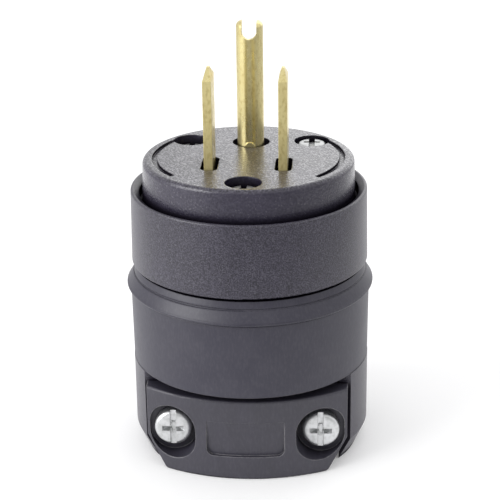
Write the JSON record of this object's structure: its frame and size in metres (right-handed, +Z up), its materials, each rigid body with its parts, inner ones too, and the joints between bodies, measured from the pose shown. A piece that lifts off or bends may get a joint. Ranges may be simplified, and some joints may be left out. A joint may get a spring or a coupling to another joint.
{
  "type": "rubber blade plug",
  "caption": "Grounding power plug with flat brass blades and a rolled ground pin, a round moulded body in a smooth rubber sleeve, and a screwed cord clamp at its foot.",
  "frame": {"origin": "on the plug's axis at the cord end, the bottom centre of its box", "axes": "+Z up the axis towards the blades, -Y towards the clamp screw heads, +Y towards the ground pin, +X to the right"},
  "size_m": [0.0438, 0.0438, 0.0757],
  "materials": {
    "face_nylon": "fine moulded grain, slight sheen",
    "body_nylon": "moulded grain, satin",
    "clamp_nylon": "smooth, satin",
    "sleeve_rubber": "smooth, satin",
    "blade_brass": "rolled, slightly dull",
    "zinc_steel": "bright zinc plate",
    "green_steel": "green dyed plate"
  },
  "bodies": {
    "root": {"front_face": "face_nylon", "contact_carrier": "clamp_nylon", "body_shell": "body_nylon", "rubber_sleeve": "sleeve_rubber", "front_clamp": "clamp_nylon", "rear_clamp": "clamp_nylon", "clamp_screws": "zinc_steel", "clamp_nuts": "zinc_steel", "face_screws": "zinc_steel", "hot_blade": "blade_brass", "neutral_blade": "blade_brass", "ground_pin": "blade_brass", "hot_terminal_screw": "blade_brass", "neutral_terminal_screw": "zinc_steel", "ground_terminal_screw": "green_steel", "hot_wire_plate": "blade_brass", "neutral_wire_plate": "zinc_steel", "ground_wire_plate": "blade_brass"}
  },
  "joints": []
}
